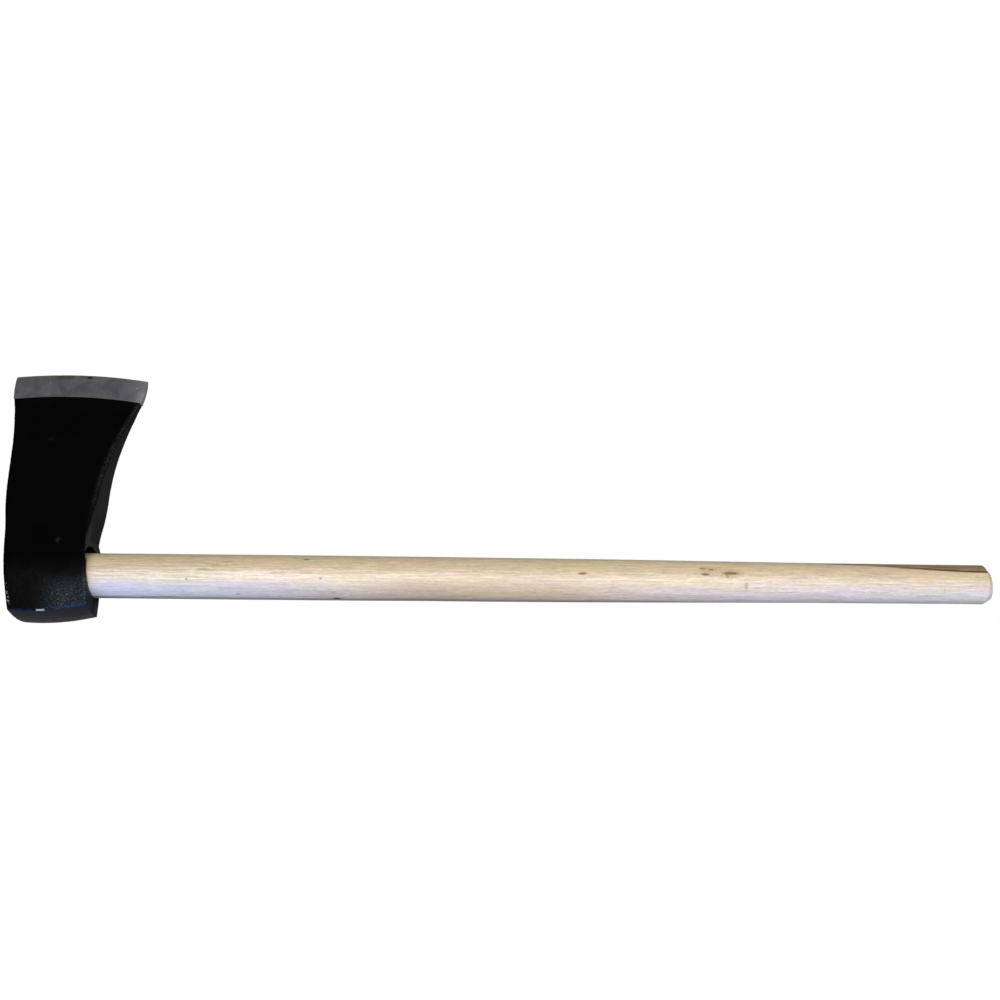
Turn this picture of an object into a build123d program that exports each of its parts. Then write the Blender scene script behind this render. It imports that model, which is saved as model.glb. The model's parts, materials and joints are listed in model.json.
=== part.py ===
from build123d import *
import math
import os

# Broad axe with a round eye, in millimetres.
#
# Drawing frame: X is the handle's axis, with the grip at +X, Y points to the cutting edge and
# Z is the blade's thickness. X = 0 is where the handle's axis meets the top of the head.
# At the end the axe is laid on its side, as it rests on a table, and set on Z = 0.

# ---------------------------------------------------------------- driving dimensions
handle_length = 797.0        # cut from 800 and trimmed flush with the head
eye_radius = 18.3            # bore of the eye, and the handle in it
eye_wall = 4.8
boss_radius = eye_radius + eye_wall
eye_swell = [(-55.0, 12.0), (-35.0, 16.0), (-18.0, 20.3), (0.0, boss_radius), (13.0, 21.7),
             (28.0, 18.4)]   # Y and half thickness round the eye, from the poll
poll_slope = 0.2
cheek_root = (45.0, 14.9)    # Y and half thickness where the cheeks' straight taper begins
cheek_end = (148.0, 3.2)     # and where it ends, just short of the ground bit
cheek_bend = 90.0            # radius where the cheeks' taper ends
edge_half_thickness = 0.1
bevel_depth = 22.4           # from the cutting edge back to the painted cheeks
edge_sweep = 420.0           # radius of the cutting edge in side view
edge_centre = (17.8, -237.8)
tongue_depth = 12.0          # how far the bit is laid into the body
tongue_half_thickness = 1.0
tongue_width = 84.0          # stops short of the top and the underside of the head
tongue_middle_x = 28.0
forged_corner = 1.0          # rounding along the body's edges

# The handle: full size through the eye and below it, then a slow taper that ends in a
# straight round grip with a chamfered end.
neck_end = 200.0
middle_x = 440.0
middle_radius = 17.9
middle_slope = -0.0035
grip_start = 750.0
grip_radius = 16.0
end_chamfer_length = 5.5
end_chamfer_depth = 4.4

# The wedges in the top of the handle.
kerf_depth = 48.0
wood_wedge_top = 5.0
wood_wedge_tip = 1.2
steel_wedge_depth = 26.0
steel_wedge_width = 22.0
steel_wedge_top = 3.2
steel_wedge_tip = 0.8
steel_wedge_offset = 8.0     # each side of the handle's axis

# ---------------------------------------------------------------- side view of the head
# The top and the underside of the eye are not square to the handle, and the poll is crowned.
top_slant = -0.21            # X per Y along the top of the eye
poll_top = (-36.4 * top_slant, -36.4)
poll_heel = (68.2, -31.5)
under_eye_middle = (64.8, 2.0)
waist = (57.6, 30.0)
toe = (-29.2, 179.6)
heel = (85.8, 176.7)
poll_long_crown = 205.0      # radius of the poll's face seen from the side
poll_short_crown = 70.0      # and seen along the handle
poll_tilt = 4.5              # degrees that the face is out of square with the blade
tip_corner = 1.2

# ---------------------------------------------------------------- how it lies on its side
eye_contact_x = 61.0         # underside of the eye
eye_contact_z = 23.28
grip_contact_x = handle_length - end_chamfer_length
edge_contact = (45.0, 182.4)
reach = 400.0                # longer than the head, for the solids that trim it


def head_outline():
    """The whole head seen from the side, as a face in XY, with waste left on its poll."""
    poll_top_waste = (poll_top[0] + 2.0, poll_top[1] - 9.0)
    poll_heel_waste = (poll_heel[0] + 0.2, poll_heel[1] - 9.0)
    apex = (edge_centre[0], edge_centre[1] + edge_sweep)
    lines = [
        Spline(toe, (-27.0, 157.0), (-23.2, 141.0), (-16.8, 97.0), (-11.8, 58.0), (-7.2, 37.0),
               (0.8, 0.0), poll_top, poll_top_waste),
        Line(poll_top_waste, poll_heel_waste),
        Spline(poll_heel_waste, poll_heel, under_eye_middle, waist),
        Spline(waist, (59.2, 40.0), (61.8, 56.0), (62.6, 72.0), (66.8, 105.0), (78.8, 144.0),
               (83.4, 157.0), heel),
        ThreePointArc(heel, apex, toe),
    ]
    outline = make_face(Curve() + lines)
    tips = outline.vertices().sort_by(Axis.Y)[-2:]
    return fillet(tips, tip_corner)


def thickness_profile():
    """The body cut across the handle, as a face in YZ: the swell round the eye runs smoothly
    into the poll at -Y and into the straight tapering cheeks at +Y."""
    taper = (cheek_end[0] - cheek_root[0], cheek_end[1] - cheek_root[1])
    past_edge = (200.0, cheek_end[1])
    sides = []
    for z in (1, -1):
        swell = [(y, z * half) for y, half in eye_swell]
        root, end, past = [(y, z * half) for y, half in (cheek_root, cheek_end, past_edge)]
        sides += [
            Spline(*swell, root, tangents=[(1, z * poll_slope), (taper[0], z * taper[1])]),
            *FilletPolyline(root, end, past, radius=cheek_bend).edges(),
            Line(past, (past[0], 0)),
            Line((swell[0][0], 0), swell[0]),
        ]
    return Plane.YZ.offset(-reach) * make_face(Curve() + sides)


def poll_waste():
    """What is taken off the block to leave the poll's face, crowned both ways."""
    half_width = 45.0
    depth = 20.0
    run = (poll_heel[0] - poll_top[0], poll_heel[1] - poll_top[1])
    rise = poll_long_crown - math.sqrt(poll_long_crown**2 - (math.hypot(*run) / 2)**2)
    disc = Pos(0, poll_long_crown - rise) * Circle(poll_long_crown)
    strip = Pos(0, poll_short_crown / 2 - rise) * Rectangle(2 * half_width, poll_short_crown)
    barrel = revolve(disc & strip, Axis((0, poll_short_crown - rise, 0), (1, 0, 0)), 360)
    waste = Pos(0, depth - rise - half_width, 0) * Box(2 * half_width, 2 * half_width,
                                                       2 * half_width)
    middle = Pos(poll_top[0] + run[0] / 2, poll_top[1] + run[1] / 2, 0)
    in_line = Rot(0, 0, math.degrees(math.atan2(run[1], run[0])))
    return middle * in_line * Rot(-poll_tilt, 0, 0) * (waste - barrel)


def bit_section():
    """The ground bit cut along a radius of the cutting edge."""
    edge_y = edge_centre[1] + edge_sweep
    bevel_y = edge_y - bevel_depth
    past_edge_y = edge_y + 2.0
    upper = [
        (bevel_y, cheek_end[1]),
        (edge_y, edge_half_thickness),
        (past_edge_y, edge_half_thickness),
    ]
    lower = [(y, -z) for y, z in reversed(upper)]
    section = make_face(Polyline(*upper, *lower, close=True))
    return Plane.YZ.offset(edge_centre[0]) * section


def tongue_section():
    """The tongue on the back of the bit, hidden inside the body, cut in the same plane."""
    overlap = 1.0
    depth = tongue_depth + overlap
    middle_y = edge_centre[1] + edge_sweep - bevel_depth + overlap - depth / 2
    section = Pos(middle_y, 0) * Rectangle(depth, 2 * tongue_half_thickness)
    return Plane.YZ.offset(edge_centre[0]) * section


def around_edge(face):
    """Sweep a section round the centre of the cutting edge."""
    return revolve(face, Axis((*edge_centre, 0), (0, 0, 1)), 360)


def taper_wedge(top, tip, width, depth):
    """A wedge driven along +X from the top of the handle, thin in Z, standing proud for trimming."""
    proud = 20.0
    slope = (top - tip) / depth
    start = top + slope * proud
    side = Polyline((-proud, start / 2), (depth, tip / 2), (depth, -tip / 2), (-proud, -start / 2),
                    close=True)
    return extrude(Plane.XZ * make_face(side), width / 2, both=True)


def beside_top():
    """Everything at the handle's side of the slanted top of the eye."""
    slant = math.degrees(math.atan(-top_slant))
    return Rot(0, 0, slant) * Pos(reach, 0, 0) * Box(2 * reach, 2 * reach, 2 * reach)


def make_handle_shaft():
    """The turned handle before it is split and wedged."""
    end_radius = grip_radius - end_chamfer_depth
    proud = -20.0
    side = Curve() + [
        Line((proud, 0), (proud, eye_radius)),
        Line((proud, eye_radius), (neck_end, eye_radius)),
        Spline((neck_end, eye_radius), (middle_x, middle_radius), (grip_start, grip_radius),
               tangents=[(1, 0), (1, middle_slope), (1, 0)]),
        Line((grip_start, grip_radius), (grip_contact_x, grip_radius)),
        Line((grip_contact_x, grip_radius), (handle_length, end_radius)),
        Line((handle_length, end_radius), (handle_length, 0)),
        Line((handle_length, 0), (proud, 0)),
    ]
    return revolve(make_face(side), Axis.X, 360)


def make_parts():
    """All the pieces in the drawing frame, by node name."""
    half_height = boss_radius + 5
    past_poll_y = -33.0
    past_body_y = 155.0
    outline = Pos(0, 0, -half_height) * extrude(head_outline(), 2 * half_height)
    bevel_limit = Pos(*edge_centre, 0) * Cylinder(edge_sweep - bevel_depth, 2 * reach)
    block = outline & extrude(thickness_profile(), 2 * reach) & bevel_limit
    rims = [e for e in block.edges() if abs((e % 0.5).X) < 0.999 and abs((e % 0.5).Z) < 0.999]
    block = fillet([e for e in rims if past_poll_y < e.center().Y < past_body_y], forged_corner)
    block = block - poll_waste()

    tongue_place = Pos(tongue_middle_x, edge_centre[1] + edge_sweep, 0)
    tongue = around_edge(tongue_section()) & tongue_place * Box(tongue_width, reach, reach)
    bit = (around_edge(bit_section()) & outline) + tongue
    eye = Rot(0, 90, 0) * Cylinder(eye_radius, 2 * reach)
    body = block - eye - bit

    under_top = beside_top()
    wood_tool = taper_wedge(wood_wedge_top, wood_wedge_tip, 2 * boss_radius, kerf_depth)
    upright = Rot(90, 0, 0) * taper_wedge(steel_wedge_top, steel_wedge_tip, steel_wedge_width,
                                          steel_wedge_depth)
    steel = [Pos(0, side * steel_wedge_offset, 0) * upright & under_top for side in (1, -1)]
    wood = wood_tool & eye & under_top
    handle = (make_handle_shaft() & under_top) - wood_tool
    for wedge in steel:
        wood = wood - wedge
        handle = handle - wedge

    return {
        "axe_body": body,
        "cutting_bit": bit,
        "handle": handle,
        "wooden_wedge": wood,
        "steel_wedge_1": steel[0],
        "steel_wedge_2": steel[1],
    }


def lay_down(shape):
    """Turn a piece so that the edge, the eye and the grip's end all touch the ground."""
    tilt = math.asin((eye_contact_z - grip_radius) / (grip_contact_x - eye_contact_x))
    drop = eye_contact_z + (eye_contact_x - edge_contact[0]) * math.sin(tilt)
    lean = math.asin(drop / edge_contact[1])
    return shape.rotate(Axis.X, -math.degrees(lean)).rotate(Axis.Y, math.degrees(tilt))


pieces = {name: lay_down(shape.solid()) for name, shape in make_parts().items()}
box = Compound(list(pieces.values())).bounding_box()
middle = box.center()
to_origin = Pos(-middle.X, -middle.Y, -box.min.Z)

os.makedirs("parts", exist_ok=True)
for name, shape in pieces.items():
    export_step(to_origin * shape, f"parts/{name}.step")
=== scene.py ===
import json
import math

import bmesh
import bpy
import numpy as np
from mathutils import Matrix, Vector, noise


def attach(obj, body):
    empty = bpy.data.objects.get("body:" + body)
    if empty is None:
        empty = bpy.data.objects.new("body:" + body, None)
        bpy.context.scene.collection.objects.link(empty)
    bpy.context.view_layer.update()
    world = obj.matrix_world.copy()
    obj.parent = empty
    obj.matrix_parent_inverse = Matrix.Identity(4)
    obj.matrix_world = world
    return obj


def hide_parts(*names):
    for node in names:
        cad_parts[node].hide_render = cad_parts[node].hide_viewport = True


# A round-eye axe with a black forged head and a pale turned handle, lying on its side.
#
# Detailed meshes are built in the axe's own drawing frame, in metres: X along the handle to the
# grip, Y to the cutting edge, Z through the blade, with the origin where the handle's axis
# leaves the top of the head. "place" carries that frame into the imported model's frame, and the
# finished meshes are moved there. Materials see the same drawing frame, in millimetres.

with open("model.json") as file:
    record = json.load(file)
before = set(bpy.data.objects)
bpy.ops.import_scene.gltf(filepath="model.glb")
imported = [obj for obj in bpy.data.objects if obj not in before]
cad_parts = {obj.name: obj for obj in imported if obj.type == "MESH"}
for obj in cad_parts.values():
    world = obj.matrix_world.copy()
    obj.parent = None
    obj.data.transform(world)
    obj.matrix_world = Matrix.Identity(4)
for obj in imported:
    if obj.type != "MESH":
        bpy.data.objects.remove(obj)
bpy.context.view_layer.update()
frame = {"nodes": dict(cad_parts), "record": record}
MM = 0.001


# ================================================================ mesh helpers
def coordinates(mesh):
    co = np.empty(len(mesh.vertices) * 3)
    mesh.vertices.foreach_get("co", co)
    return co.reshape(-1, 3)


def set_coordinates(mesh, co):
    mesh.vertices.foreach_set("co", co.ravel())
    mesh.update()


def vertex_normals(mesh):
    normals = np.empty(len(mesh.vertices) * 3)
    mesh.vertex_normals.foreach_get("vector", normals)
    return normals.reshape(-1, 3)


def store(mesh, name, values):
    """Keep one number for each vertex, for the material to read."""
    attribute = mesh.attributes.new(name, "FLOAT", "POINT")
    attribute.data.foreach_set("value", values)


def noise_at(points, size, seed):
    """Smooth noise from -1 to 1 at each point, with features about size metres across."""
    shift = Vector((seed * 7.13, seed * 3.71, seed * 5.37))
    return np.array([noise.noise(Vector(p) / size + shift) for p in points])


def smooth_step(value, low, high):
    t = np.clip((value - low) / (high - low), 0.0, 1.0)
    return t * t * (3.0 - 2.0 * t)


def shade_smooth(mesh, sharp_degrees):
    mesh.polygons.foreach_set("use_smooth", [True] * len(mesh.polygons))
    mesh.set_sharp_from_angle(angle=math.radians(sharp_degrees))
    mesh.update()


def node_mesh(node, to_drawing=None):
    """A copy of a CAD node's mesh with its split vertices joined."""
    mesh = frame["nodes"][node].data.copy()
    if to_drawing is not None:
        mesh.transform(to_drawing)
    mesh.materials.clear()
    bm = bmesh.new()
    bm.from_mesh(mesh)
    bmesh.ops.remove_doubles(bm, verts=bm.verts, dist=0.002 * MM)
    bmesh.ops.recalc_face_normals(bm, faces=bm.faces)
    bm.to_mesh(mesh)
    bm.free()
    return mesh


def centroid(mesh):
    """The centre of volume of a closed mesh."""
    mesh.calc_loop_triangles()
    co = coordinates(mesh)
    corners = np.array([t.vertices for t in mesh.loop_triangles])
    a, b, c = co[corners[:, 0]], co[corners[:, 1]], co[corners[:, 2]]
    volumes = np.einsum("ij,ij->i", a, np.cross(b, c)) / 6.0
    return Vector(((a + b + c) / 4.0 * volumes[:, None]).sum(0) / volumes.sum())


# ================================================================ the drawing frame
def drawing_frame():
    """The drawing frame's place, with the handle's axis from the grip mount and the blade's from
    the bit, and the slant of the head's top, in X per Y."""
    grip = next(m for m in frame["record"]["mounts"] if m["name"] == "grip_end")
    grip_point = Vector(grip["pos_m"])
    along = Vector(grip["axis"]).normalized()
    sideways = centroid(node_mesh("cutting_bit")) - grip_point
    to_edge = (sideways - along * sideways.dot(along)).normalized()
    turn = Matrix((along, to_edge, along.cross(to_edge))).transposed().to_4x4()
    # The wedge's end face lies in the top of the head, and meets the axis at the origin.
    rough = Matrix.Translation(grip_point) @ turn
    wedge = coordinates(node_mesh("wooden_wedge", rough.inverted()))
    high = wedge[wedge[:, 1] > 0.98 * wedge[:, 1].max()]
    low = wedge[wedge[:, 1] < 0.98 * wedge[:, 1].min()]
    start, finish = high[high[:, 0].argmin()], low[low[:, 0].argmin()]
    slant = (start[0] - finish[0]) / (start[1] - finish[1])
    middle = start[0] - slant * start[1]
    return Matrix.Translation(grip_point + along * middle) @ turn, slant


place, top_slant = drawing_frame()
unplace = place.inverted()

# Sizes read from the CAD handle.
shaft = coordinates(node_mesh("handle", unplace))
shaft_radii = np.hypot(shaft[:, 1], shaft[:, 2])
eye_radius = shaft_radii.max()
handle_length = shaft[:, 0].max()


def new_object(name, mesh):
    """A new object in the scene, for a mesh, a light or a camera."""
    obj = bpy.data.objects.new(name, mesh)
    bpy.context.scene.collection.objects.link(obj)
    return obj


def apply_modifiers(obj):
    bpy.context.view_layer.update()
    graph = bpy.context.evaluated_depsgraph_get()
    mesh = bpy.data.meshes.new_from_object(obj.evaluated_get(graph))
    obj.modifiers.clear()
    obj.data = mesh
    return mesh


def cut_away(obj, tool):
    """Subtract one object from another, and drop the tool."""
    cut = obj.modifiers.new("cut", "BOOLEAN")
    cut.operation = "DIFFERENCE"
    cut.solver = "EXACT"
    cut.object = tool
    apply_modifiers(obj)
    bpy.data.objects.remove(tool)


# ================================================================ head body
# Details that the CAD body doesn't have.
VOXEL = 0.7 * MM             # how finely the body is remeshed
BROAD_BUMPS = 0.24 * MM      # heights of the hammered unevenness
SMALL_BUMPS = 0.09 * MM
SCALE_PITS = 0.03 * MM
BORE_SKIN = 0.6 * MM         # nearer to the bore than this is the bore itself
BORE_GAP = 0.05 * MM         # between the bore and the handle
OUT_OF_SQUARE = 0.19         # slope of the underside on the poll's half, X per Z
WAIST_FILL = 1.5 * MM
WAIST_Y = 32.0 * MM
MADE_GOOD = 0.45 * MM        # what the rounding takes off the top and the underside
BURR_HEIGHT = 3.2 * MM
HOLLOW_DEPTH = 4.0 * MM


def weight_group(obj, name, weights):
    """A vertex group with a weight from 0 to 1 for each vertex, to the nearest tenth."""
    group = obj.vertex_groups.new(name=name)
    levels = np.round(weights * 10).astype(int)
    for level in range(1, 11):
        group.add([int(i) for i in np.flatnonzero(levels == level)], level / 10, "REPLACE")


def relax(obj, group, iterations):
    """Round a mesh off where a vertex group is strong."""
    smooth = obj.modifiers.new("smooth", "SMOOTH")
    smooth.factor = 0.5
    smooth.iterations = iterations
    smooth.vertex_group = group
    return apply_modifiers(obj)


def soften(obj, sharp):
    """Round the eye's ends most, the poll's rim and the blade's edges less, and the body hardly
    at all where it meets the bit."""
    eye_middle = 6 * MM
    near_eye = 1.0 - smooth_step(np.abs(sharp[:, 1] - eye_middle), 26 * MM, 44 * MM)
    beside_bit = smooth_step(sharp[:, 1], 150 * MM, 154 * MM)
    weight_group(obj, "all", 1.0 - 0.8 * beside_bit)
    weight_group(obj, "eye", near_eye)
    relax(obj, "all", 3)
    mesh = relax(obj, "eye", 8)
    obj.vertex_groups.clear()
    return mesh


def beside_poll(co, normals):
    """1 along the upper edge of the poll's face, fading a little way up the cheek."""
    facing_up = normals[:, 2] > 0.3
    at_edge = facing_up & (normals[:, 1] < -0.45) & (co[:, 1] < -20 * MM)
    found = []
    for x in np.arange(-2, 72, 2) * MM:
        here = at_edge & (np.abs(co[:, 0] - x) < 2 * MM)
        if here.any():
            found.append((x, np.median(co[here, 1])))
    edge_y = np.interp(co[:, 0], [x for x, y in found], [y for x, y in found])
    above = co[:, 1] - edge_y
    band = smooth_step(above, -1.0 * MM, 0.0) * (1.0 - smooth_step(above, 0.6 * MM, 2.6 * MM))
    return band * facing_up


def above_underside(co, normals):
    """1 along the cheek's edge above the underside, fading a little way across the cheek."""
    facing_up = normals[:, 2] > 0.5
    stations = np.arange(44, 156, 2) * MM
    edge_x = [co[facing_up & (np.abs(co[:, 1] - y) < 1.5 * MM), 0].max() for y in stations]
    inside = np.interp(co[:, 1], stations, edge_x) - co[:, 0]
    band = 1.0 - smooth_step(inside, 1.5 * MM, 4.5 * MM)
    return band * facing_up * smooth_step(co[:, 1], 46 * MM, 66 * MM)


def mark_paint_masks(mesh, sharp):
    """Note for the paint which edges are rounded off, which faces look the poll's way, and where
    the cheek meets the poll and the underside; the paint puts painted highlights along some of
    these."""
    co = coordinates(mesh)
    normals = vertex_normals(mesh)
    rounded_off = np.einsum("ij,ij->i", sharp - co, normals)
    store(mesh, "rounded_edge", smooth_step(rounded_off, 0.06 * MM, 0.35 * MM))
    store(mesh, "poll_face", smooth_step(-normals[:, 1], 0.78, 0.92))
    store(mesh, "crease", beside_poll(co, normals))
    store(mesh, "brow", above_underside(co, normals))


def hammer(co, normals, from_axis, clear_of_bore):
    """Make the skin uneven everywhere but in the bore, which stays round."""
    bumps = BROAD_BUMPS * noise_at(co, 26 * MM, 1) + SMALL_BUMPS * noise_at(co, 9 * MM, 2)
    bumps += SCALE_PITS * noise_at(co, 2.6 * MM, 3)
    co += normals * (bumps * clear_of_bore)[:, None]
    in_bore = from_axis < eye_radius + BORE_SKIN
    outward = co[in_bore, 1:] / np.hypot(co[in_bore, 1], co[in_bore, 2])[:, None]
    co[in_bore, 1:] = outward * (eye_radius + BORE_GAP)


def shift_along_handle(co, normals, clear_of_bore):
    """Move the head's top and underside along the handle, where the forging differs from the
    CAD shape."""
    # The underside is not quite square with the handle on the poll's half.
    poll_half = smooth_step(co[:, 0], 35 * MM, 60 * MM) * smooth_step(-co[:, 1], -22 * MM, -6 * MM)
    co[:, 0] -= OUT_OF_SQUARE * np.clip(-co[:, 2], 0, None) * poll_half
    # The waist below the eye is filled out on the upper side.
    at_waist = smooth_step(co[:, 0], 46 * MM, 58 * MM) * smooth_step(co[:, 2], 2 * MM, 14 * MM)
    at_waist *= np.exp(-((co[:, 1] - WAIST_Y) / (8.0 * MM)) ** 2)
    co[:, 0] += WAIST_FILL * at_waist
    # What the rounding took off the top and the underside is made good.
    across_handle = smooth_step(np.abs(normals[:, 0]), 0.3, 0.7)
    before_bit = 1.0 - smooth_step(co[:, 1], 138 * MM, 150 * MM)
    co[:, 0] += MADE_GOOD * np.sign(normals[:, 0]) * across_handle * before_bit * clear_of_bore


def shape_mouth(co, sharp, normals, from_axis):
    """Hollow the mouth that the handle comes out of, on its upper half towards the blade, and
    raise a ragged burr on its lower half. Returns how far into the hollow each vertex is."""
    from_bore = from_axis - eye_radius
    towards_blade = sharp[:, 1] / from_axis
    lower_half = 1.0 - smooth_step(sharp[:, 2], -6 * MM, 2 * MM)
    burr = 1.0 - smooth_step(from_bore, 1.5 * MM, 6.0 * MM)
    burr *= smooth_step(normals[:, 0], 0.1, 0.4) * smooth_step(co[:, 0], 40 * MM, 46 * MM)
    burr *= smooth_step(towards_blade, 0.86, 0.98) * lower_half
    ragged = BURR_HEIGHT + 2.0 * MM * noise_at(co, 5 * MM, 8) + 0.8 * MM * noise_at(co, 2 * MM, 9)
    co[:, 0] += ragged * burr
    hollow = 1.0 - smooth_step(from_bore, 2.5 * MM, 6.5 * MM)
    hollow *= smooth_step(towards_blade, 0.35, 0.75) * (1.0 - lower_half)
    hollow *= smooth_step(sharp[:, 0], 46 * MM, 57 * MM)
    co[:, 0] -= HOLLOW_DEPTH * hollow
    return hollow


def make_body():
    """The forged body: the CAD shape remeshed finely, with worn edges and an uneven skin."""
    obj = new_object("forged_head", node_mesh("axe_body", unplace))
    remesh = obj.modifiers.new("remesh", "REMESH")
    remesh.mode = "VOXEL"
    remesh.voxel_size = VOXEL
    sharp = coordinates(apply_modifiers(obj))
    mesh = soften(obj, sharp)
    mark_paint_masks(mesh, sharp)

    co = coordinates(mesh)
    normals = vertex_normals(mesh)
    from_axis = np.hypot(sharp[:, 1], sharp[:, 2])
    clear_of_bore = smooth_step(from_axis, eye_radius + BORE_SKIN, eye_radius + 3 * MM)
    hammer(co, normals, from_axis, clear_of_bore)
    shift_along_handle(co, normals, clear_of_bore)
    hollow = shape_mouth(co, sharp, normals, from_axis)
    store(mesh, "hollow", smooth_step(hollow, 0.25, 0.8))
    set_coordinates(mesh, co)
    shade_smooth(mesh, 60)
    return obj


# ================================================================ ground bit
GRINDING_WAVE = 0.05 * MM
NICK_DEPTH = 0.5 * MM


def make_bit():
    """The ground bit: the CAD shape, cut fine enough to take its nicks and grinding waves."""
    mesh = node_mesh("cutting_bit", unplace)
    bm = bmesh.new()
    bm.from_mesh(mesh)
    bmesh.ops.triangulate(bm, faces=bm.faces)
    for length in (16 * MM, 8 * MM, 4 * MM, 2 * MM, 1.2 * MM):
        long_edges = [e for e in bm.edges if e.calc_length() > length]
        bmesh.ops.subdivide_edges(bm, edges=long_edges, cuts=1)
        bmesh.ops.triangulate(bm, faces=bm.faces)
    bm.to_mesh(mesh)
    bm.free()
    obj = new_object("ground_bit", mesh)
    co = coordinates(mesh)
    wave = GRINDING_WAVE * noise_at(co * np.array([1, 0.3, 1]), 7 * MM, 4)
    co[:, 2] += np.sign(co[:, 2]) * wave * smooth_step(np.abs(co[:, 2]), 0.2 * MM, 1.5 * MM)
    at_edge = 1.0 - smooth_step(np.abs(co[:, 2]), 0.12 * MM, 0.35 * MM)
    nick = np.clip(noise_at(co * np.array([1, 0, 0]), 2.3 * MM, 5) - 0.25, 0, 1)
    co[:, 1] -= NICK_DEPTH * nick * at_edge
    set_coordinates(mesh, co)
    shade_smooth(mesh, 22)
    return obj


# ================================================================ handle
AROUND = 112                 # points round the shaft
ALONG = 420                  # stations along it, before its last part
LAST_PART = 12 * MM          # closer stations here keep the grip's chamfer crisp
LAST_STATIONS = 24
END_RINGS = 14
INSIDE_EYE = 60 * MM         # the stations' slant fades out over this length
CHAMFER_LENGTH = 5.5 * MM
CHAMFER_SHIFT = 1.0 * MM
END_OUT_OF_SQUARE = 0.12     # X per Z
MM_PER_DEGREE = 0.31         # round the handle's skin

# Dents and a planed-down strip: distance along, degrees round from the edge's side, length
# along, width and depth, in millimetres.
DENTS = (
    (264, 175, 5, 4, 0.7),
    (333, -178, 42, 5, 0.5),
    (239, 51, 5, 4, 0.3),
    (185, 155, 4, 4, 0.25),
    (462, 87, 7, 2, 0.2),
    (604, -20, 24, 5, 0.4),
)


def shaft_radius(x):
    """The CAD handle's radius at a distance x along it."""
    near_wall = shaft_radii > 0.55 * eye_radius
    order = np.argsort(shaft[near_wall, 0])
    return np.interp(x, shaft[near_wall, 0][order], shaft_radii[near_wall][order])


def circle(radius, x_at):
    """Points round the handle's axis, each as far along as x_at gives for its Y."""
    points = []
    for j in range(AROUND):
        angle = j * 2 * math.pi / AROUND
        y = radius * math.cos(angle)
        points.append((x_at(y), y, radius * math.sin(angle)))
    return points


def join_circles(first, second):
    """Quads between two circles, given by the number of each one's first vertex."""
    quads = []
    for j in range(AROUND):
        k = (j + 1) % AROUND
        quads.append((first + j, first + k, second + k, second + j))
    return quads


def close_end(verts, faces, rim, x_at):
    """Close one end of the shaft with smaller and smaller circles inside its rim."""
    radius = math.hypot(verts[rim][1], verts[rim][2])
    outer = rim
    for ring in range(1, END_RINGS):
        inner = len(verts)
        verts += circle(radius * (1.0 - ring / END_RINGS), x_at)
        faces += join_circles(outer, inner)
        outer = inner
    centre = len(verts)
    verts.append((x_at(0.0), 0.0, 0.0))
    faces += [(outer + j, outer + (j + 1) % AROUND, centre) for j in range(AROUND)]


def turned_shaft():
    """The plain shaft, with its top slanted flush with the head."""
    stations = np.concatenate([
        np.linspace(0, handle_length - LAST_PART, ALONG),
        handle_length - LAST_PART * (1 - np.linspace(0, 1, LAST_STATIONS + 1)[1:])])
    verts, faces = [], []
    for x in stations:
        slant = top_slant * max(0.0, 1.0 - x / INSIDE_EYE)
        verts += circle(shaft_radius(x), lambda y: x + slant * y)
    last = len(verts) - AROUND
    for first in range(0, last, AROUND):
        faces += join_circles(first, first + AROUND)
    close_end(verts, faces, 0, lambda y: top_slant * y)
    close_end(verts, faces, last, lambda y: handle_length)
    mesh = bpy.data.meshes.new("turned_handle")
    mesh.from_pydata(verts, [], faces)
    bm = bmesh.new()
    bm.from_mesh(mesh)
    bmesh.ops.recalc_face_normals(bm, faces=bm.faces)
    bm.to_mesh(mesh)
    bm.free()
    return mesh


def wedge_slot(node):
    """The shape that a wedge leaves in the handle, run out past the handle's skin."""
    mesh = node_mesh(node, unplace)
    co = coordinates(mesh)
    co[co[:, 0] - top_slant * co[:, 1] < 0.5 * MM, 0] -= 1.0 * MM
    co[np.abs(co[:, 1]) > 0.8 * eye_radius, 1] *= 1.03
    set_coordinates(mesh, co)
    return mesh


def make_handle():
    """A turned shaft with a slightly uneven skin, cut flush at the head and wedged there."""
    obj = new_object("turned_handle", turned_shaft())
    mesh = obj.data
    co = coordinates(mesh)
    normals = vertex_normals(mesh)
    along_grain = co * np.array([0.06, 1, 1])
    uneven = 0.15 * MM * noise_at(along_grain, 9 * MM, 6)
    uneven += 0.04 * MM * noise_at(along_grain, 2.4 * MM, 7)
    angle = np.degrees(np.arctan2(co[:, 2], co[:, 1]))
    for at, degrees, length, width, depth in DENTS:
        turn = (angle - degrees + 180) % 360 - 180
        apart = ((co[:, 0] / MM - at) / length) ** 2 + (turn * MM_PER_DEGREE / width) ** 2
        uneven -= depth * MM * np.exp(-apart * 1.5)
    outside_eye = smooth_step(co[:, 0], 64 * MM, 76 * MM)
    on_side = 1.0 - smooth_step(co[:, 0], handle_length - 8 * MM, handle_length - 3 * MM)
    co += normals * (uneven * outside_eye * on_side)[:, None]
    # The end is cut out of square, and its chamfer is deeper on the blade's side.
    at_end = np.clip((co[:, 0] - handle_length) / CHAMFER_LENGTH + 1.0, 0.0, 1.0)
    co[:, 0] -= END_OUT_OF_SQUARE * np.clip(co[:, 2], 0.0, None) * at_end
    co[:, 1] -= CHAMFER_SHIFT * at_end
    set_coordinates(mesh, co)
    for node in ("wooden_wedge", "steel_wedge_1", "steel_wedge_2"):
        cut_away(obj, new_object("tool_" + node, wedge_slot(node)))
    shade_smooth(obj.data, 35)
    return obj


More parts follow.
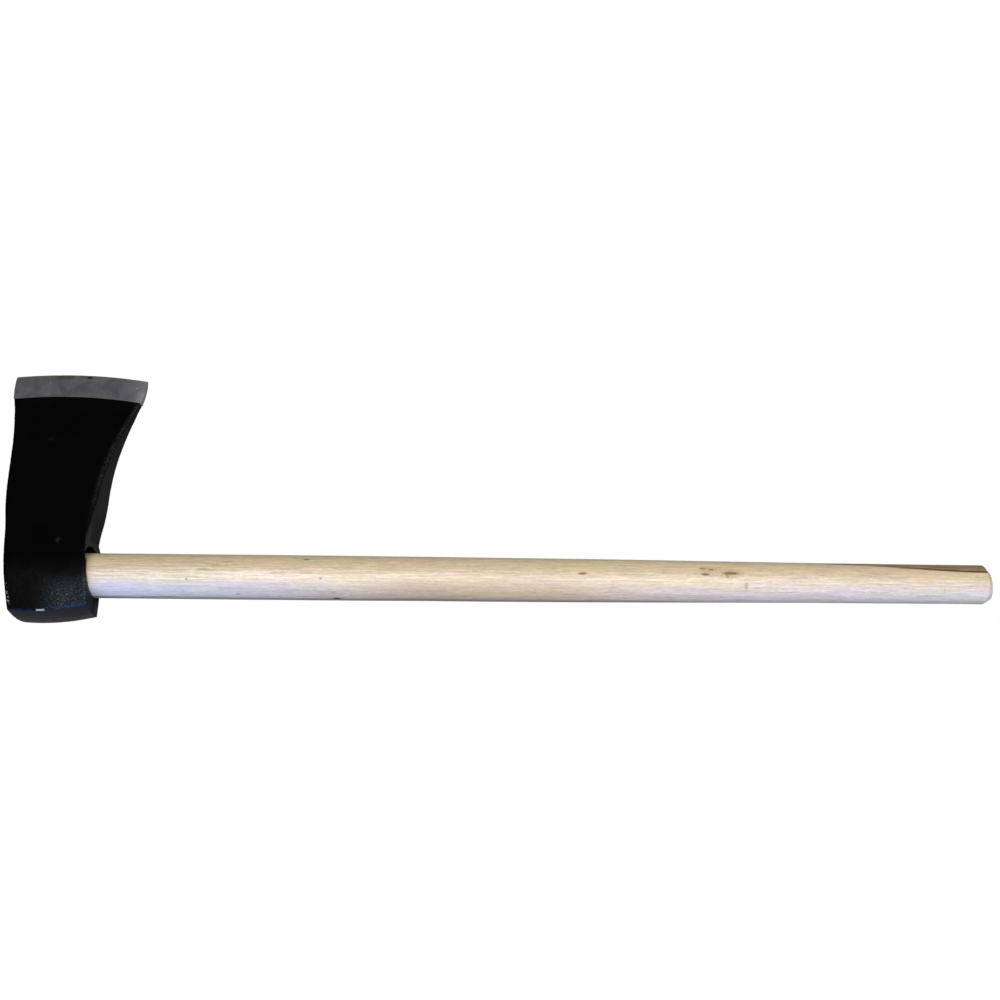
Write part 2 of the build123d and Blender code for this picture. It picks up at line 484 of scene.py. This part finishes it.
# ================================================================ materials
class Nodes:
    """A short way to write a material's node tree. Its texture space is the drawing frame in
    millimetres."""

    def __init__(self, name):
        self.material = bpy.data.materials.new(name)
        self.material.use_nodes = True
        self.tree = self.material.node_tree
        self.shader = self.tree.nodes["Principled BSDF"]
        to_mm = 1.0 / MM
        coords = self.tree.nodes.new("ShaderNodeTexCoord")
        self.point = self.node("ShaderNodeMapping", {
            "Vector": coords.outputs["Object"],
            "Scale": (to_mm, to_mm, to_mm),
            "Rotation": tuple(unplace.to_euler("XYZ")),
            "Location": tuple(unplace.translation * to_mm)}).outputs["Vector"]
        split = self.node("ShaderNodeSeparateXYZ", {"Vector": self.point})
        self.x, self.y, self.z = (split.outputs[i] for i in range(3))

    def node(self, kind, inputs=None, **settings):
        made = self.tree.nodes.new(kind)
        for key, value in settings.items():
            setattr(made, key, value)
        for key, value in (inputs or {}).items():
            self.feed(made.inputs[key], value)
        return made

    def feed(self, socket, value):
        """Link a socket to another node's output, or set it to a uniform value."""
        if isinstance(value, bpy.types.NodeSocket):
            self.tree.links.new(value, socket)
        else:
            socket.default_value = value

    def attribute(self, name):
        return self.node("ShaderNodeAttribute", attribute_name=name).outputs["Fac"]

    def scaled(self, scale):
        made = self.node("ShaderNodeMapping", {"Vector": self.point, "Scale": scale})
        return made.outputs["Vector"]

    def noise(self, vector, scale, detail=4.0, roughness=0.55, distortion=0.0):
        made = self.node("ShaderNodeTexNoise", {"Vector": vector, "Scale": scale, "Detail": detail,
                                                "Roughness": roughness, "Distortion": distortion})
        return made.outputs["Fac"]

    def ramp(self, value, stops):
        """A colour for each value. A stop's colour is three numbers, or one for a grey."""
        made = self.node("ShaderNodeValToRGB", {"Fac": value})
        elements = made.color_ramp.elements
        while len(elements) < len(stops):
            elements.new(0.5)
        for element, (at, colour) in zip(elements, stops):
            element.position = at
            if isinstance(colour, (int, float)):
                colour = (colour, colour, colour)
            element.color = (*colour, 1)
        return made.outputs["Color"]

    def math(self, operation, a, b=0.0):
        return self.node("ShaderNodeMath", {0: a, 1: b}, operation=operation).outputs[0]

    def plus(self, a, b):
        return self.math("ADD", a, b)

    def minus(self, a, b):
        return self.math("SUBTRACT", a, b)

    def times(self, *factors):
        product = factors[0]
        for factor in factors[1:]:
            product = self.math("MULTIPLY", product, factor)
        return product

    def distance(self, a, b):
        """The length of a line that runs a one way and b at right angles to it."""
        return self.math("SQRT", self.plus(self.math("POWER", a, 2.0), self.math("POWER", b, 2.0)))

    def fade(self, value, low, high):
        """0 below low, 1 above high, smooth between; low may be the larger."""
        made = self.node("ShaderNodeMapRange", {"Value": value, "From Min": low, "From Max": high},
                         interpolation_type="SMOOTHSTEP")
        return made.outputs["Result"]

    def band(self, value, start, full, ease, end):
        """1 from full to ease, fading to 0 at start and at end."""
        return self.times(self.fade(value, start, full), self.fade(value, end, ease))

    def mix(self, factor, a, b, blend="MIX"):
        made = self.node("ShaderNodeMix", data_type="RGBA", blend_type=blend)
        self.feed(made.inputs[0], factor)
        for socket, colour in ((made.inputs[6], a), (made.inputs[7], b)):
            self.feed(socket, (*colour, 1) if isinstance(colour, tuple) else colour)
        return made.outputs[2]

    def stain(self, colour, mask, strength, tint):
        return self.mix(self.times(mask, strength), colour, tint)

    def tinted(self, colour, tint):
        """A colour multiplied by another."""
        return self.mix(1.0, colour, tint, "MULTIPLY")

    def bump(self, height, strength, distance, normal=None):
        inputs = {"Height": height, "Strength": strength, "Distance": distance}
        if normal is not None:
            inputs["Normal"] = normal
        return self.node("ShaderNodeBump", inputs).outputs["Normal"]

    def finish(self, colour, roughness, normal, metallic=0.0, specular=0.5):
        for name, value in (("Base Color", colour), ("Roughness", roughness), ("Normal", normal),
                            ("Metallic", metallic), ("Specular IOR Level", specular)):
            self.feed(self.shader.inputs[name], value)
        return self.material


# ================================================================ black paint
# Scuffs on the cheek: place along and across the handle, reach and level of grey.
SCUFFS = (
    (39.0, 24.0, 3.4, 0.030),
    (13.0, 118.0, 3.8, 0.010),
)


def chip_edges(n, colour, rounded_edge):
    """Small chips where the head's edges are rounded off."""
    chip = n.fade(n.noise(n.point, 0.55, 3, 0.7), 0.66, 0.70)
    return n.stain(colour, rounded_edge, chip, (0.16, 0.16, 0.165))


def paint_eye_sheen(n, colour):
    """Painted sheen on the poll's half of the eye: blue-grey specks on the black paint, standing
    in for light reflected there.
    """
    towards_poll = n.fade(n.y, -3.0, -20.0)
    towards_grip = n.fade(n.x, 26.0, 50.0)
    upper_side = n.fade(n.z, 0.0, 6.0)
    grain = n.noise(n.point, 1.05, 3, 0.75)
    sheen_specks = n.ramp(grain, [(0.40, (0.002, 0.004, 0.008)), (0.53, (0.014, 0.019, 0.026)),
                            (0.66, (0.085, 0.100, 0.098))])
    return n.mix(n.times(towards_grip, towards_poll, upper_side), colour, sheen_specks)


def scuff_cheek_and_paint_edge_highlight(n, colour):
    """Faint scuffs on the cheek, and painted highlight specks along its edge above the underside.
    """
    fine_specks = n.fade(n.noise(n.point, 1.1, 3, 0.7), 0.47, 0.60)
    # Painted highlight: pale specks along the rounded edge above the underside.
    colour = n.stain(colour, n.attribute("brow"), fine_specks, (0.026, 0.026, 0.026))
    upper_side = n.fade(n.z, 0.0, 3.0)
    for x, y, reach, level in SCUFFS:
        apart = n.distance(n.minus(n.x, x), n.minus(n.y, y))
        scuff = n.times(n.fade(apart, reach, 0.3 * reach), upper_side)
        colour = n.stain(colour, scuff, fine_specks, (level, level, level))
    return colour


def paint_poll_light(n, colour, poll_face):
    """Painted light on the poll: its face is painted a lighter grey in patches, for the light it
    catches, and the crease above it carries a thin painted blue highlight with one painted glint."""
    patchy = n.fade(n.noise(n.point, 0.12, 4), 0.25, 0.5)
    colour = n.stain(colour, poll_face, patchy, (0.021, 0.020, 0.026))
    crease = n.attribute("crease")
    brighter = n.plus(n.times(n.fade(n.x, 34.0, 66.0), 0.72), 0.18)
    blue_highlight = n.times(n.fade(n.noise(n.point, 0.35, 4, 0.65), 0.36, 0.60), brighter)
    colour = n.stain(colour, crease, blue_highlight, (0.010, 0.048, 0.190))
    # Painted glint: one small pale spot on the crease.
    glint = n.times(n.band(n.x, 29.0, 30.5, 35.0, 37.0), n.fade(crease, 0.82, 0.98))
    return n.mix(glint, colour, (0.38, 0.42, 0.50))


def paint_underside_edge_highlight(n, colour, rounded_edge):
    """Painted highlight: the underside's upper edge beside the poll is painted the same blue as
    the crease above the poll.
    """
    beside_wall = n.times(n.fade(n.x, 58.0, 61.0), n.fade(n.y, -2.0, -12.0))
    patchy = n.fade(n.noise(n.point, 0.5, 3), 0.42, 0.56)
    return n.mix(n.times(beside_wall, patchy, rounded_edge), colour, (0.05, 0.12, 0.20))


def speck_top_rim(n, colour):
    """Pale specks along the rim at the top of the eye."""
    below_top = n.minus(n.x, n.times(n.y, top_slant))
    rim = n.times(n.band(below_top, 0.2, 0.8, 2.0, 3.0), n.band(n.y, -30.0, -26.0, -15.0, -11.0),
                  n.fade(n.z, 5.0, 9.0))
    specked = n.fade(n.noise(n.point, 0.8, 2, 0.6), 0.54, 0.59)
    return n.stain(colour, rim, specked, (0.30, 0.32, 0.34))


def paint_shine(n, poll_face):
    """The paint's specular level, set to paint shade: none in the hollow beside the handle, which
    shows as painted shade there, and less on the underside towards the poll, as painted shade
    below the handle."""
    by_poll = n.times(n.fade(n.x, 57.0, 62.0), n.fade(n.y, -8.0, -24.0))
    shade_below_handle = n.times(by_poll, n.minus(1.0, poll_face), 0.75)
    clean_paint = 0.085
    return n.times(n.minus(1.0, n.attribute("hollow")), n.minus(1.0, shade_below_handle), clean_paint)


def make_black_paint():
    n = Nodes("black_paint")
    rounded_edge = n.attribute("rounded_edge")
    poll_face = n.attribute("poll_face")
    grime = n.noise(n.point, 0.06, 5)
    colour = n.ramp(grime, [(0.35, 0.0002), (0.75, 0.0009)])
    colour = chip_edges(n, colour, rounded_edge)
    colour = paint_eye_sheen(n, colour)
    colour = scuff_cheek_and_paint_edge_highlight(n, colour)
    colour = paint_poll_light(n, colour, poll_face)
    colour = paint_underside_edge_highlight(n, colour, rounded_edge)
    colour = speck_top_rim(n, colour)
    rough = n.ramp(n.noise(n.point, 0.9, 2, 0.7), [(0.3, 0.32), (0.7, 0.42)])
    normal = n.bump(n.noise(n.point, 0.42, 3, 0.6), 0.30, 0.5 * MM)
    normal = n.bump(n.noise(n.point, 1.5, 2, 0.6), 0.3, 0.2 * MM, normal)
    return n.finish(colour, rough, normal, specular=paint_shine(n, poll_face))


# ================================================================ ground steel
EDGE_CENTRE = (17.8, -237.8)     # of the cutting edge's curve, in millimetres
EDGE_SWEEP = 420.0


def make_ground_steel():
    n = Nodes("ground_steel")
    lines = n.noise(n.scaled((1.1, 0.09, 0.09)), 1, 3, 0.6)
    cloud = n.noise(n.scaled((1, 1.4, 1)), 0.045, 5, 0.6, 0.6)
    tone = n.ramp(cloud, [(0.38, (0.112, 0.112, 0.127)), (0.60, (0.178, 0.178, 0.192))])
    colour = n.tinted(tone, n.ramp(lines, [(0.3, 0.90), (0.7, 1.08)]))
    # Painted highlight: brighter towards the heel, and most at its inner corner.
    colour = n.stain(colour, n.fade(n.x, 62.0, 86.0), 0.6, (0.27, 0.27, 0.29))
    corner_highlight = n.times(n.fade(n.x, 76.0, 83.0), n.fade(n.y, 168.0, 163.0))
    colour = n.stain(colour, corner_highlight, 0.6, (0.40, 0.40, 0.42))
    # Rust-brown close to the middle of the edge, with a black notch beside the rust.
    radius = n.distance(n.minus(n.x, EDGE_CENTRE[0]), n.minus(n.y, EDGE_CENTRE[1]))
    from_edge = n.minus(EDGE_SWEEP, radius)
    patchy = n.fade(n.noise(n.point, 0.12, 3), 0.30, 0.50)
    rust = n.times(n.fade(from_edge, 6.0, 2.5), n.band(n.x, 0.0, 10.0, 24.0, 36.0), patchy)
    colour = n.stain(colour, rust, 0.85, (0.085, 0.090, 0.036))
    notch = n.times(n.band(n.x, 31.5, 33.0, 35.5, 37.0), n.fade(from_edge, 3.8, 2.4))
    colour = n.stain(colour, notch, 0.9, (0.012, 0.012, 0.010))
    rough = n.ramp(lines, [(0.3, 0.58), (0.7, 0.46)])
    return n.finish(colour, rough, n.bump(lines, 0.15, 0.04 * MM), metallic=0.55, specular=0.4)


# ================================================================ hardwood
GREY = (0.30, 0.28, 0.26)
BROWN = (0.22, 0.12, 0.06)
HALO = (0.50, 0.30, 0.20)
MOSS = (0.34, 0.31, 0.19)
SOOT = (0.02, 0.02, 0.02)

# Knots and stains on the handle, and one painted shadow: distance along, degrees round from the
# edge's side, half length and half width in millimetres, strength and colour. A knot lies on its
# own halo.
SPOTS = (
    # Painted shadow: a dark blue line along the low side beside the head.
    (80, 174, 12.0, 1.2, 0.6, (0.10, 0.09, 0.22)),
    (120, 168, 14.0, 0.6, 0.4, BROWN),
    (145, 112, 1.1, 0.8, 0.8, GREY),
    (158, 86, 5.0, 0.9, 0.6, MOSS),
    (167, 76, 5.0, 0.9, 0.6, MOSS),
    (176, 64, 5.0, 0.9, 0.6, MOSS),
    (185, 155, 1.6, 0.9, 0.6, GREY),
    (239, 51, 2.6, 0.9, 0.8, (0.12, 0.11, 0.10)),
    (252, 107, 1.2, 0.8, 0.8, GREY),
    (262, 144, 2.6, 0.7, 0.6, GREY),
    (264, 175, 3.0, 2.0, 0.9, SOOT),
    (420, -110, 6.0, 1.6, 0.5, BROWN),
    (439, 74, 3.6, 1.2, 0.4, HALO),
    (462, 86, 4.2, 1.5, 0.5, HALO),
    (462, 87, 3.0, 0.8, 0.9, BROWN),
    (564, 74, 9.0, 4.0, 0.4, HALO),
    (559, 67, 2.4, 0.7, 0.8, BROWN),
    (566, 70, 2.2, 0.7, 0.8, BROWN),
    (561, 85, 3.2, 1.1, 0.9, BROWN),
    (583, 82, 9.5, 3.6, 0.5, HALO),
    (582, 81, 6.0, 1.3, 0.85, BROWN),
    (579, 90, 1.2, 2.2, 0.4, BROWN),
    (594, 115, 1.5, 3.0, 0.5, (0.25, 0.27, 0.2)),
    (676, -70, 4.0, 2.0, 0.6, BROWN),
    (738, 94, 8.0, 4.0, 0.3, (0.60, 0.46, 0.16)),
    (755, 120, 0.6, 3.0, 0.2, BROWN),
    (771, 152, 0.6, 2.4, 0.2, BROWN),
)


def growth_ring(n):
    """How far each point is through its growth ring, from 0 to 1. The rings wander round a pith
    that lies outside the handle and runs a little askew to it."""
    ring_width = 2.7
    pith_y, pith_z = -31.0, 19.0
    askew = 0.012
    wander = n.noise(n.scaled((0.004, 0.02, 0.02)), 1, 3, 0.5)
    across = n.plus(n.minus(n.y, pith_y), n.times(n.x, askew))
    radius = n.plus(n.distance(across, n.minus(n.z, pith_z)), n.times(wander, 9.0))
    return n.math("FRACT", n.math("DIVIDE", radius, ring_width))


def side_colours(n, angle, fine, patches):
    """Tan on the blade's side; palest along the top, a painted highlight; and towards the poll and
    round the underside lavender-grey, painted cool light, with brown wood stain partway along."""
    along = n.math("DIVIDE", n.x, handle_length / MM)
    poll_side_cool_light_and_stain = n.ramp(along, [(0.12, (0.69, 0.74, 0.94)), (0.28, (0.70, 0.68, 0.77)),
                               (0.40, (0.66, 0.55, 0.47)), (0.56, (0.68, 0.56, 0.45)),
                               (0.64, (0.76, 0.68, 0.67)), (0.76, (0.75, 0.71, 0.77)),
                               (0.95, (0.78, 0.77, 0.85))])
    top_highlight = n.ramp(along, [(0.10, (0.86, 0.77, 0.68)), (0.26, (0.95, 0.86, 0.75)),
                            (0.50, (0.78, 0.67, 0.53)), (0.68, (0.82, 0.72, 0.60)),
                            (0.95, (0.76, 0.68, 0.57))])
    tan = (0.67, 0.575, 0.40)
    wander = n.plus(n.times(fine, 50.0), n.times(patches, 30.0))
    ragged_angle = n.minus(n.plus(angle, wander), 40.0)
    colour = n.mix(n.fade(ragged_angle, 76.0, 108.0), tan, top_highlight)
    colour = n.mix(n.fade(ragged_angle, 100.0, 142.0), colour, poll_side_cool_light_and_stain)
    return n.mix(n.fade(ragged_angle, -60.0, -120.0), colour, poll_side_cool_light_and_stain)


def add_grain(n, colour, late_wood, fine, fibres, patches):
    """Pinkish patches, the rings' late wood, two sizes of fibre and the pores."""
    pink = n.mix(n.fade(patches, 0.40, 0.60), (1.02, 1.02, 0.93), (1.03, 0.97, 0.99))
    colour = n.tinted(colour, pink)
    colour = n.stain(colour, late_wood, 0.15, (0.53, 0.40, 0.28))
    colour = n.tinted(colour, n.ramp(fine, [(0.38, 0.83), (0.60, 1.08)]))
    colour = n.tinted(colour, n.ramp(fibres, [(0.38, 0.86), (0.60, 1.08)]))
    pores = n.noise(n.scaled((0.14, 2.2, 2.2)), 1, 3, 0.65)
    return n.tinted(colour, n.ramp(pores, [(0.31, 0.72), (0.40, 1.0)]))


def spot(n, angle, x, degrees, length, width):
    """A ragged spot on the handle's skin, 1 inside and 0 outside; sizes in millimetres."""
    softness = 0.35
    along = n.math("DIVIDE", n.minus(n.x, x), length)
    round_it = n.math("DIVIDE", n.minus(angle, degrees), width / MM_PER_DEGREE)
    ragged = n.times(n.minus(n.noise(n.point, 0.7, 3), 0.5), 1.2)
    apart = n.plus(n.distance(along, round_it), ragged)
    return n.fade(apart, 1.0 + softness, 1.0 - softness)


def add_stains(n, colour, angle):
    """A yellower stretch where hands have held it, painted shade along the low side, knots and
    smudges, and one painted shadow by the head.
    """
    held = n.times(n.band(n.x, 270.0, 330.0, 360.0, 430.0), n.fade(angle, 78.0, 172.0))
    colour = n.stain(colour, held, 0.3, (0.52, 0.38, 0.24))
    # Painted shade: darker along the low side, towards the head.
    from_low_side = n.math("ABSOLUTE", n.minus(n.math("ABSOLUTE", angle), 178.0))
    low_side_shade = n.times(n.fade(from_low_side, 14.0, 4.0), n.fade(n.x, 620.0, 460.0))
    colour = n.stain(colour, low_side_shade, 0.7, (0.34, 0.26, 0.25))
    for x, degrees, length, width, strength, tint in SPOTS:
        colour = n.stain(colour, spot(n, angle, x, degrees, length, width), strength, tint)
    return colour


def add_heartwood(n, colour, angle, fine):
    """Darker heartwood showing along one side of the grip's end, with a dark line at its limit."""
    # Its limit is in degrees round from the edge's side, and widens to the end.
    limit = n.plus(n.times(n.fade(n.x, 610.0, 810.0), 40.0), 26.0)
    limit = n.plus(limit, n.times(n.noise(n.scaled((0.03, 0.3, 0.3)), 1), 8.0))
    inside = n.minus(limit, angle)
    heart = n.times(n.fade(inside, -1.5, 3.0), n.fade(n.x, 620.0, 690.0),
                    n.fade(angle, -75.0, -30.0))
    brown_wood = n.ramp(fine, [(0.42, (0.19, 0.12, 0.06)), (0.58, (0.36, 0.25, 0.135))])
    colour = n.stain(colour, heart, 0.95, brown_wood)
    line = n.times(n.band(inside, -2.0, 1.0, 5.0, 9.0), n.fade(n.x, 690.0, 750.0))
    return n.stain(colour, line, 0.9, (0.10, 0.055, 0.03))


def add_end_grain(n, colour, late_wood):
    """End grain is darker, with its rings and dirt showing."""
    length = handle_length / MM
    below_top = n.minus(n.x, n.times(n.y, top_slant))
    ends = n.math("MAXIMUM", n.fade(below_top, 0.6, 0.2), n.fade(n.x, length - 0.5, length - 0.2))
    grain = n.stain((0.50, 0.36, 0.22), late_wood, 0.7, (0.26, 0.16, 0.085))
    dirt = n.ramp(n.noise(n.point, 0.25, 4), [(0.35, 0.7), (0.6, 1.0)])
    return n.mix(ends, colour, n.tinted(grain, dirt))


def make_hardwood():
    n = Nodes("hardwood")
    angle = n.math("DEGREES", n.math("ARCTAN2", n.z, n.y))
    fine = n.noise(n.scaled((0.045, 0.9, 0.9)), 1, 5, 0.7, 0.3)
    fibres = n.noise(n.scaled((0.20, 1.5, 1.5)), 1, 4, 0.75)
    patches = n.noise(n.scaled((0.020, 0.13, 0.13)), 1, 4, 0.6)
    late_wood = n.band(growth_ring(n), 0.35, 0.85, 0.93, 1.0)
    colour = side_colours(n, angle, fine, patches)
    colour = add_grain(n, colour, late_wood, fine, fibres, patches)
    colour = add_stains(n, colour, angle)
    colour = add_heartwood(n, colour, angle, fine)
    colour = add_end_grain(n, colour, late_wood)
    # Darker where the handle enters the eye.
    colour = n.stain(colour, n.fade(n.x, 70.0, 62.0), 0.5, (0.16, 0.12, 0.09))
    normal = n.bump(fine, 0.5, 0.15 * MM)
    normal = n.bump(fibres, 0.4, 0.10 * MM, normal)
    rough = n.ramp(patches, [(0.40, 0.40), (0.62, 0.56)])
    return n.finish(colour, rough, normal, specular=0.35)


# ================================================================ wedges
def make_wedge_wood():
    n = Nodes("wedge_wood")
    pores = n.noise(n.point, 3.0, 3, 0.6)
    bands = n.noise(n.scaled((0.1, 0.12, 1.3)), 1, 4, 0.5)
    colour = n.ramp(bands, [(0.3, (0.30, 0.19, 0.10)), (0.7, (0.44, 0.30, 0.17))])
    colour = n.tinted(colour, n.ramp(pores, [(0.3, 0.6), (0.5, 1.0)]))
    return n.finish(colour, 0.7, n.bump(pores, 0.5, 0.15 * MM), specular=0.3)


def make_wedge_steel():
    n = Nodes("wedge_steel")
    blows = n.noise(n.point, 0.5, 2, 0.5)
    rust = n.noise(n.point, 0.8, 5, 0.65)
    colour = n.ramp(rust, [(0.42, (0.24, 0.235, 0.23)), (0.62, (0.13, 0.065, 0.035))])
    rough = n.ramp(rust, [(0.4, 0.38), (0.62, 0.8)])
    return n.finish(colour, rough, n.bump(blows, 0.8, 0.5 * MM), metallic=0.8)


# ================================================================ the axe
def dress(obj, material, node):
    """Move a finished mesh to its place in the model, and give it its material and body."""
    obj.data.transform(place)
    obj.data.materials.clear()
    obj.data.materials.append(material)
    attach(obj, "root")
    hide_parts(node)


def dress_node(node, material):
    """Give a CAD node that is shown as it is its material."""
    mesh = frame["nodes"][node].data
    mesh.materials.clear()
    mesh.materials.append(material)


dress(make_body(), make_black_paint(), "axe_body")
dress(make_bit(), make_ground_steel(), "cutting_bit")
dress(make_handle(), make_hardwood(), "handle")
dress_node("wooden_wedge", make_wedge_wood())
wedge_steel = make_wedge_steel()
dress_node("steel_wedge_1", wedge_steel)
dress_node("steel_wedge_2", wedge_steel)


# ================================================================ stage, lights and camera
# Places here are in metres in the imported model's frame.
FLOOR_HALF_SIZE = 8.0
CAMERA_TARGET = Vector((395.2, 67.1, -3.9)) * MM     # from the drawing frame's origin
CAMERA_DISTANCE = 0.8345
CAMERA_ELEVATION = math.radians(77.0)
CAMERA_ROLL = math.radians(0.505)


def seen_and_felt(tree, seen, felt, output):
    """Show one shader to the camera, and let another one light the scene."""
    path = tree.nodes.new("ShaderNodeLightPath")
    mix = tree.nodes.new("ShaderNodeMixShader")
    tree.links.new(path.outputs["Is Camera Ray"], mix.inputs["Fac"])
    tree.links.new(felt.outputs[0], mix.inputs[1])
    tree.links.new(seen.outputs[0], mix.inputs[2])
    tree.links.new(mix.outputs[0], tree.nodes[output].inputs["Surface"])


def make_floor_paint():
    """Plain white: bright to the eye, and a softer grey as a reflector."""
    material = bpy.data.materials.new("floor_paint")
    material.use_nodes = True
    tree = material.node_tree
    shader = tree.nodes["Principled BSDF"]
    shader.inputs["Base Color"].default_value = (0.35, 0.35, 0.35, 1)
    shader.inputs["Roughness"].default_value = 0.9
    shader.inputs["Specular IOR Level"].default_value = 0.1
    white = tree.nodes.new("ShaderNodeEmission")
    white.inputs["Strength"].default_value = 1.0
    seen_and_felt(tree, white, shader, "Material Output")
    return material


def make_floor():
    size = FLOOR_HALF_SIZE
    mesh = bpy.data.meshes.new("floor")
    mesh.from_pydata([(-size, -size, 0), (size, -size, 0), (size, size, 0), (-size, size, 0)], [],
                     [(0, 1, 2, 3)])
    floor = new_object("floor", mesh)
    floor.data.materials.append(make_floor_paint())


def make_world():
    """A dim warm room that looks white."""
    world = bpy.data.worlds.new("studio")
    bpy.context.scene.world = world
    world.use_nodes = True
    tree = world.node_tree
    room = tree.nodes["Background"]
    room.inputs["Color"].default_value = (1.0, 0.93, 0.82, 1)
    room.inputs["Strength"].default_value = 0.08
    white = tree.nodes.new("ShaderNodeBackground")
    white.inputs["Color"].default_value = (1, 1, 1, 1)
    white.inputs["Strength"].default_value = 1.0
    seen_and_felt(tree, white, room, "World Output")


def aim(obj, target, roll=0.0):
    direction = Vector(target) - obj.location
    turn = direction.to_track_quat("-Z", "Y").to_matrix().to_4x4()
    obj.rotation_euler = (turn @ Matrix.Rotation(roll, 4, "Z")).to_euler()


def area_light(name, location, target, size, watts, colour):
    data = bpy.data.lights.new(name, "AREA")
    data.shape = "RECTANGLE"
    data.size, data.size_y = size
    data.energy = watts
    data.color = colour
    light = new_object(name, data)
    light.location = location
    aim(light, target)


def make_camera():
    """Almost overhead, over the middle of the axe, a little to the poll's side."""
    target = place.translation + CAMERA_TARGET
    away = Vector((0, -math.cos(CAMERA_ELEVATION), math.sin(CAMERA_ELEVATION)))
    data = bpy.data.cameras.new("camera")
    data.lens = 36.0
    data.sensor_width = 36.0
    camera = new_object("camera", data)
    camera.location = target + CAMERA_DISTANCE * away
    aim(camera, target, CAMERA_ROLL)
    bpy.context.scene.camera = camera


make_floor()
make_world()
area_light("overhead", location=(0.25, 0.05, 1.7), target=(0.25, 0, 0), size=(1.7, 0.6),
           watts=32, colour=(1.0, 0.97, 0.95))
area_light("window", location=(-0.95, -1.05, 0.85), target=(-0.35, 0, 0), size=(0.8, 0.6),
           watts=5.2, colour=(0.48, 0.68, 1.0))
area_light("far_window", location=(0.85, -1.0, 0.75), target=(0.32, 0, 0), size=(0.7, 0.5),
           watts=2.6, colour=(0.66, 0.76, 1.0))
make_camera()
bpy.context.scene.view_settings.view_transform = "Standard"
